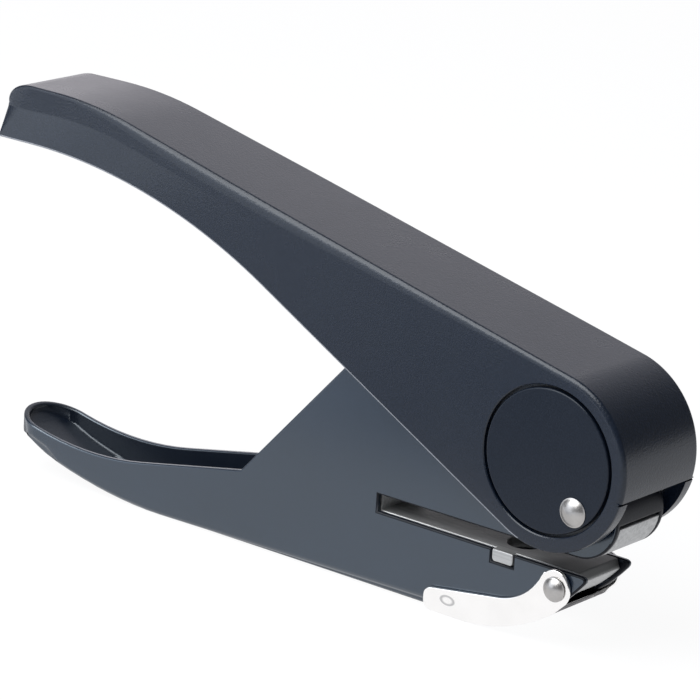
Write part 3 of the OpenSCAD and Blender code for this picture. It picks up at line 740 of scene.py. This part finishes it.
rivetForm = {
    "pivot": {"at": (56.3, 24.45), "shankR": 1.6, "headR": 2.35, "headH": 1.05, "edge": 0.12,
              "face": coverForm["half"], "from": None},
    "flap": {"at": (52.1, 10.15), "shankR": 1.3, "headR": 2.0, "headH": 0.95, "edge": 0.12,
             "face": 7.25, "from": 5.3},
}


def domeLine(v, steps=12):  # half section of one head, from its crown out to its shank: radius and reach
    ball = (v["headR"] ** 2 + v["headH"] ** 2) / (2 * v["headH"])
    far = math.asin(v["headR"] / ball)
    low = v["face"] + v["headH"] - ball
    line = [(ball * math.sin(far * i / steps), low + ball * math.cos(far * i / steps)) for i in range(steps)]
    rolled = [(v["headR"], v["face"] + v["edge"]), (v["headR"] - v["edge"], v["face"])]
    return line + rolled + [(v["shankR"], v["face"])]


def makeRivet(v, side, name, node, body, sides=72):
    line = domeLine(v)
    if v["from"] is None:  # a head at both ends
        line += [(r, -y) for r, y in reversed(line)]
    else:
        line += [(v["shankR"], v["from"]), (0, v["from"])]
    bm = bmesh.new()
    x, z = v["at"]
    verts = [bm.verts.new(Vector((x + r, side * y, z)) * mm) for r, y in line]
    for p, q in zip(verts, verts[1:]):
        bm.edges.new((p, q))
    bmesh.ops.spin(bm, geom=bm.verts[:] + bm.edges[:], cent=Vector((x, 0, z)) * mm, axis=(0, 1, 0),
                   angle=math.tau, steps=sides, use_merge=True)
    bmesh.ops.remove_doubles(bm, verts=bm.verts[:], dist=closeUp)
    bmesh.ops.recalc_face_normals(bm, faces=bm.faces[:])
    finishPiece(bm, name, rivetSteel, body, (node,))


makeRivet(rivetForm["pivot"], 1, "pivotRivet", "pivot_rivet", "handle")
makeRivet(rivetForm["flap"], 1, "flapRivetLeft", "flap_rivet_left", "frame")
makeRivet(rivetForm["flap"], -1, "flapRivetRight", "flap_rivet_right", "frame")
print("inserts and rivets made")


# sheet parts: their solids with rolled edges

sheetMesh = {"merge": 0.03, "sliver": 0.02, "flat": 0.6, "atCorner": 0.01, "cornerSegments": 6, "sharp": 50}


def copySolid(node, v=sheetMesh):  # loose triangles to plain faces
    bm = bmesh.new()
    bm.from_mesh(nodes[node].data)
    bmesh.ops.remove_doubles(bm, verts=bm.verts[:], dist=v["merge"] * mm)
    bmesh.ops.dissolve_degenerate(bm, dist=v["sliver"] * mm, edges=bm.edges[:])
    bmesh.ops.dissolve_limit(bm, angle_limit=math.radians(v["flat"]), verts=bm.verts[:], edges=bm.edges[:])
    bm.normal_update()
    return bm


def roundCorner(bm, x, z, gather, r, v=sheetMesh):  # gathers what lies round a corner, then rounds it
    def off(p):
        return math.dist((p.co.x, p.co.z), (x * mm, z * mm))

    near = [p for p in bm.verts if off(p) < gather * mm]
    for p in near:
        p.co.x, p.co.z = x * mm, z * mm
    bmesh.ops.remove_doubles(bm, verts=near, dist=v["merge"] * mm)
    corner = [e for e in bm.edges if all(off(p) < v["atCorner"] * mm for p in e.verts)]
    bmesh.ops.bevel(bm, geom=corner, offset=r * mm, offset_type="OFFSET", affect="EDGES",
                    segments=v["cornerSegments"], profile=0.5, material=-1)


def rollEdges(bm, v, leave=frozenset()):  # all sharp outer edges, apart from those at the points to leave
    bmesh.ops.recalc_face_normals(bm, faces=bm.faces[:])
    edges = [e for e in bm.edges if len(e.link_faces) == 2 and e.is_convex and not leave.intersection(e.verts)
             and e.calc_face_angle() > math.radians(v["rollFrom"])]
    return bmesh.ops.bevel(bm, geom=edges, offset=v["edgeR"] * mm, offset_type="OFFSET", affect="EDGES",
                           segments=v["segments"], profile=0.5, material=-1, clamp_overlap=False)["faces"]


def finishSheet(bm, name, material, body, node):
    bmesh.ops.recalc_face_normals(bm, faces=bm.faces[:])
    return finishPiece(bm, name, material, body, (node,), sheetMesh["sharp"])


frameForm = {
    "edgeR": 0.36, "segments": 4, "rollFrom": 40,
    "jawCorner": {"x": 58.0, "z": 13.15, "gather": 1.86, "r": 1.9},
    "deepFar": 1.1, "deepNear": 0.8, "fadeX": (-30, -10), "endX": 28.45, "underZ": 2.5, "downward": -0.25,
    "tailX": -14, "troughHalf": 5.31, "rimGap": 1,  # the trough lies this far below its rim, or further
    "rimX": -46.4, "rimZ": 7.17, "rimCurve": 0.0085, "rimEvenX": -30,
    "soleX": -30.1, "soleZ": 0.85, "soleR": 90, "soleReach": 0.35, "floorGap": 0.04,
    "tipX": (-55, -65.2), "tipRise": 1.4, "tipForward": 0.9,
    "edgesX": 14, "edgesZ": 20, "noseX": 53, "noseZ": 14, "jawX": 50, "innerHalf": 5.32, "troughX": -13.9,
    "inward": 0.8, "forward": 0.2, "upward": -0.3,  # what a face's normal has to pass
}


def deepenChannel(bm, v):  # fuller underside, with the trough's floor: gives back the trough's points
    inTrough = set()
    tipFrom, tipTo = v["tipX"]
    fadeFrom, fadeTo = v["fadeX"]
    far, near = v["deepFar"], v["deepNear"]
    for p in bm.verts:
        x, y, z = p.co / mm
        rimZ = v["rimZ"] + v["rimCurve"] * (min(x, v["rimEvenX"]) - v["rimX"]) ** 2
        if x < v["tailX"] and abs(y) < v["troughHalf"] and z < rimZ - v["rimGap"]:
            inTrough.add(p)
        low = p.normal.z < v["downward"] and x < v["endX"] and (x < v["tailX"] or z < v["underZ"])
        if x < tipFrom:
            soleZ = v["soleZ"] + v["soleR"] - math.sqrt(v["soleR"] ** 2 - (x - v["soleX"]) ** 2)
            low = z < soleZ + v["soleReach"]
        if low or p in inTrough:
            drop = far + (near - far) * ease((x - fadeFrom) / (fadeTo - fadeFrom))
            p.co.z = max(p.co.z - drop * mm, v["floorGap"] * mm)  # never below the floor
            end = max((x - tipFrom) / (tipTo - tipFrom), 0) ** 2  # the end of the tail runs up like a hull
            p.co.z += v["tipRise"] * end * mm
            if p not in inTrough:
                p.co.x += v["tipForward"] * end * mm
    return inTrough


def shadeChannel(bm, v, rolled):  # painted shade as darker, duller paint: 1 for cut edges of the slot and jaw, for the nose and for the jaw's inner faces, 2 for the inside
    for f in rolled:
        middle = f.calc_center_median() / mm
        f.material_index = int(middle.x > v["edgesX"] and middle.z < v["edgesZ"])
    for f in bm.faces:
        middle = f.calc_center_median() / mm
        facesIn = f.normal.y * middle.y < 0 and abs(f.normal.y) > v["inward"]
        nose = middle.x > v["noseX"] and middle.z > v["noseZ"] and f.normal.x > v["forward"]
        jaw = middle.x > v["jawX"] and middle.z < v["edgesZ"] and facesIn
        trough = middle.x < v["troughX"] and f.normal.z > v["upward"]
        if nose or jaw:
            f.material_index = 1
        elif abs(middle.y) < v["innerHalf"] and (facesIn or trough):
            f.material_index = 2


def makeFrameChannel(v):
    bm = copySolid("frame_body")
    roundCorner(bm, **v["jawCorner"])
    inTrough = deepenChannel(bm, v)
    rolled = rollEdges(bm, v, inTrough)
    shadeChannel(bm, v, rolled)
    channel = finishSheet(bm, "frameChannel", framePaint, "frame", "frame_body")
    for finish in (shadeEdgePaint, shadeInnerPaint):
        channel.data.materials.append(finish)


liningForm = {"edgeR": 0.2, "segments": 3, "rollFrom": 40, "lipX": 50.75, "lipZ": 11.5, "lipBack": 0.42,
              "tabX": (39.2, 43.2), "tabZ": 11.15, "tabGather": 0.05, "tabR": 0.6}


def makeThroatLining(v):
    bm = copySolid("throat_bracket")
    for x in v["tabX"]:
        roundCorner(bm, x, v["tabZ"], v["tabGather"], v["tabR"])
    for p in bm.verts:  # the lip lies a little behind the chin
        if p.co.x > v["lipX"] * mm and p.co.z < v["lipZ"] * mm:
            p.co += Vector((-v["lipBack"], 0, v["lipBack"])) * mm
    rollEdges(bm, v)
    finishSheet(bm, "throatLining", bareSteel, "frame", "throat_bracket")


doorForm = {"edgeR": 0.2, "segments": 3, "rollFrom": 50, "slimX": 52.1, "slim": 0.86,
            "face": 7.15, "dimpleX": (30.3, 33.4), "dimpleTop": 4.2, "dimpleDepth": 0.45}


def makeChipDoor(v):
    bm = copySolid("chip_flap")
    for p in bm.verts:  # slimmer front of the ears
        if p.co.x > v["slimX"] * mm:
            p.co.x = v["slimX"] * mm + (p.co.x - v["slimX"] * mm) * v["slim"]
    low, high = v["dimpleX"]
    for side in (-1, 1):  # the detent dimples are left to the finish
        spot = [p for p in bm.verts if low < p.co.x / mm < high and p.co.z / mm < v["dimpleTop"]
                and p.co.y * side / mm > v["face"] - v["dimpleDepth"]]
        for p in spot:
            p.co.y = side * v["face"] * mm
        inSpot = set(spot)
        flat = [f for f in bm.faces if inSpot.issuperset(f.verts)]
        bmesh.ops.dissolve_faces(bm, faces=flat, use_verts=False)
    rollEdges(bm, v)
    finishSheet(bm, "chipDoor", brightPlate, "flap", "chip_flap")


makeFrameChannel(frameForm)
makeThroatLining(liningForm)
makeChipDoor(doorForm)
print("sheet parts made")


# return spring: round wire, wound up the punch

springForm = {"x": 41.2, "z": (18.85, 29.7), "coilR": 3.8, "curls": 6, "steps": 36,
              "wireR": 0.4, "wireSides": 14}


def makeSpring(v):
    bm = bmesh.new()
    low, high = v["z"]
    bmesh.ops.create_circle(bm, cap_ends=False, segments=v["wireSides"], radius=v["wireR"] * mm,
                            matrix=facingSide(v["x"] + v["coilR"], 0, low))
    steps = v["curls"] * v["steps"]
    bmesh.ops.spin(bm, geom=bm.verts[:] + bm.edges[:], cent=Vector((v["x"], 0, low)) * mm, axis=(0, 0, 1),
                   dvec=(0, 0, (high - low) / steps * mm), angle=math.tau * v["curls"], steps=steps)
    bmesh.ops.remove_doubles(bm, verts=bm.verts[:], dist=closeUp)
    bmesh.ops.holes_fill(bm, edges=[e for e in bm.edges if e.is_boundary], sides=0)
    bmesh.ops.recalc_face_normals(bm, faces=bm.faces[:])
    spring = finishPiece(bm, "punchSpring", toolSteel, "frame", ("return_spring",), live=False)
    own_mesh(spring)


makeSpring(springForm)
print("spring made")


# every solid gets its finish, and those that no piece replaces are shown as they are

nodeFinish = {
    "frame_body": framePaint, "throat_bracket": bareSteel, "pivot_bush": bareSteel, "stop_pin": bareSteel,
    "spring_washer": bareSteel, "flap_rivet_left": brightPlate, "flap_rivet_right": brightPlate,
    "handle_lever": bareSteel, "pivot_disc_left": coverPlastic, "pivot_disc_right": coverPlastic,
    "pivot_rivet": brightPlate, "pivot_washer_left": bareSteel, "pivot_washer_right": bareSteel,
    "press_pin": bareSteel, "lever_pin": bareSteel, "punch_pin": toolSteel, "spring_clip": toolSteel,
    "return_spring": toolSteel, "chip_flap": brightPlate, "handle_cover": coverPlastic,
}

for name, finish in nodeFinish.items():
    solid = nodes[name]
    solid.data.materials.clear()
    solid.data.materials.append(finish)
print("nodes finished")
